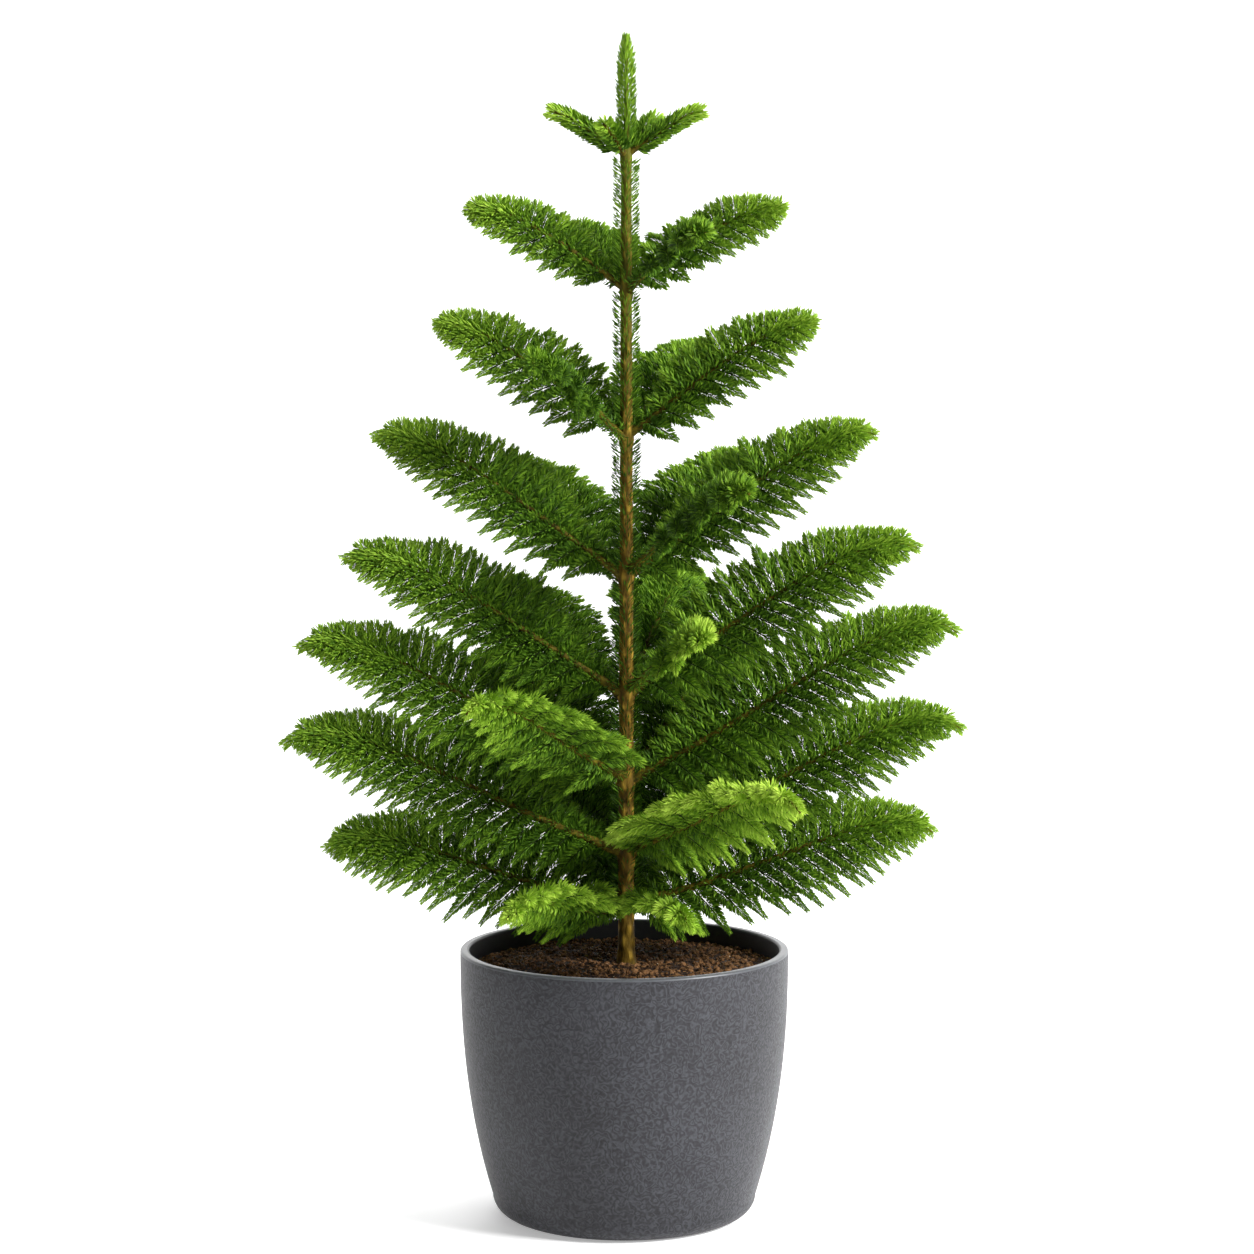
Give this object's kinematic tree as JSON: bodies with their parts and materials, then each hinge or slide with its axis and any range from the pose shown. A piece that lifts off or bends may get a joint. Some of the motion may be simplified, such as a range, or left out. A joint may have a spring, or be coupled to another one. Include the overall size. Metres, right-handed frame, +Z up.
{
  "type": "potted norfolk island pine",
  "caption": "Young potted conifer with a straight trunk, tiers of flat fern-like boughs and a round tapered pot that stands on its flat base.",
  "frame": {"origin": "centre of the pot's flat underside", "axes": "+Z up along the trunk, the picture looks along +Y with +X to its right"},
  "size_m": [0.634, 0.5111, 1.0768],
  "materials": {
    "trunk_bark": "rough golden-brown bark with upright ridges",
    "bough_bark": "olive-brown young bark",
    "needles": "dark green needles, brighter at the tips",
    "pot_stone": "matt slate-grey fibre stone with a fine wrinkled grain",
    "soil": "dark brown potting soil with coir fibres"
  },
  "bodies": {
    "root": {"trunk": "trunk_bark", "bough_tier5_1": "bough_bark", "bough_tier5_2": "bough_bark", "bough_tier5_3": "bough_bark", "bough_tier5_4": "bough_bark", "bough_tier5_5": "bough_bark", "bough_tier6_1": "bough_bark", "bough_tier6_2": "bough_bark", "bough_tier6_3": "bough_bark", "bough_tier6_4": "bough_bark", "bough_tier6_5": "bough_bark", "bough_tier7_1": "bough_bark", "bough_tier7_2": "bough_bark", "bough_tier7_3": "bough_bark", "bough_tier7_4": "bough_bark", "bough_tier7_5": "bough_bark", "bough_tier8_1": "bough_bark", "bough_tier8_2": "bough_bark", "bough_tier8_3": "bough_bark", "bough_tier8_4": "bough_bark", "foliage_leader": "needles", "foliage_tier1_1": "needles", "foliage_tier1_2": "needles", "foliage_tier1_3": "needles", "foliage_tier1_4": "needles", "foliage_tier2_1": "needles", "foliage_tier2_2": "needles", "foliage_tier2_3": "needles", "foliage_tier2_4": "needles", "foliage_tier3_1": "needles", "foliage_tier3_2": "needles", "foliage_tier3_3": "needles", "foliage_tier3_4": "needles", "foliage_tier4_1": "needles", "foliage_tier4_2": "needles", "foliage_tier4_3": "needles", "foliage_tier4_4": "needles", "foliage_tier4_5": "needles", "foliage_tier5_1": "needles", "foliage_tier5_2": "needles", "foliage_tier5_3": "needles", "foliage_tier5_4": "needles", "foliage_tier5_5": "needles", "foliage_tier6_1": "needles", "foliage_tier6_2": "needles", "foliage_tier6_3": "needles", "foliage_tier6_4": "needles", "foliage_tier6_5": "needles", "foliage_tier7_1": "needles", "foliage_tier7_2": "needles", "foliage_tier7_3": "needles", "foliage_tier7_4": "needles", "foliage_tier7_5": "needles", "foliage_tier8_1": "needles", "foliage_tier8_2": "needles", "foliage_tier8_3": "needles", "foliage_tier8_4": "needles", "foliage_tier8_5": "needles", "pot": "pot_stone", "soil": "soil"}
  },
  "joints": []
}
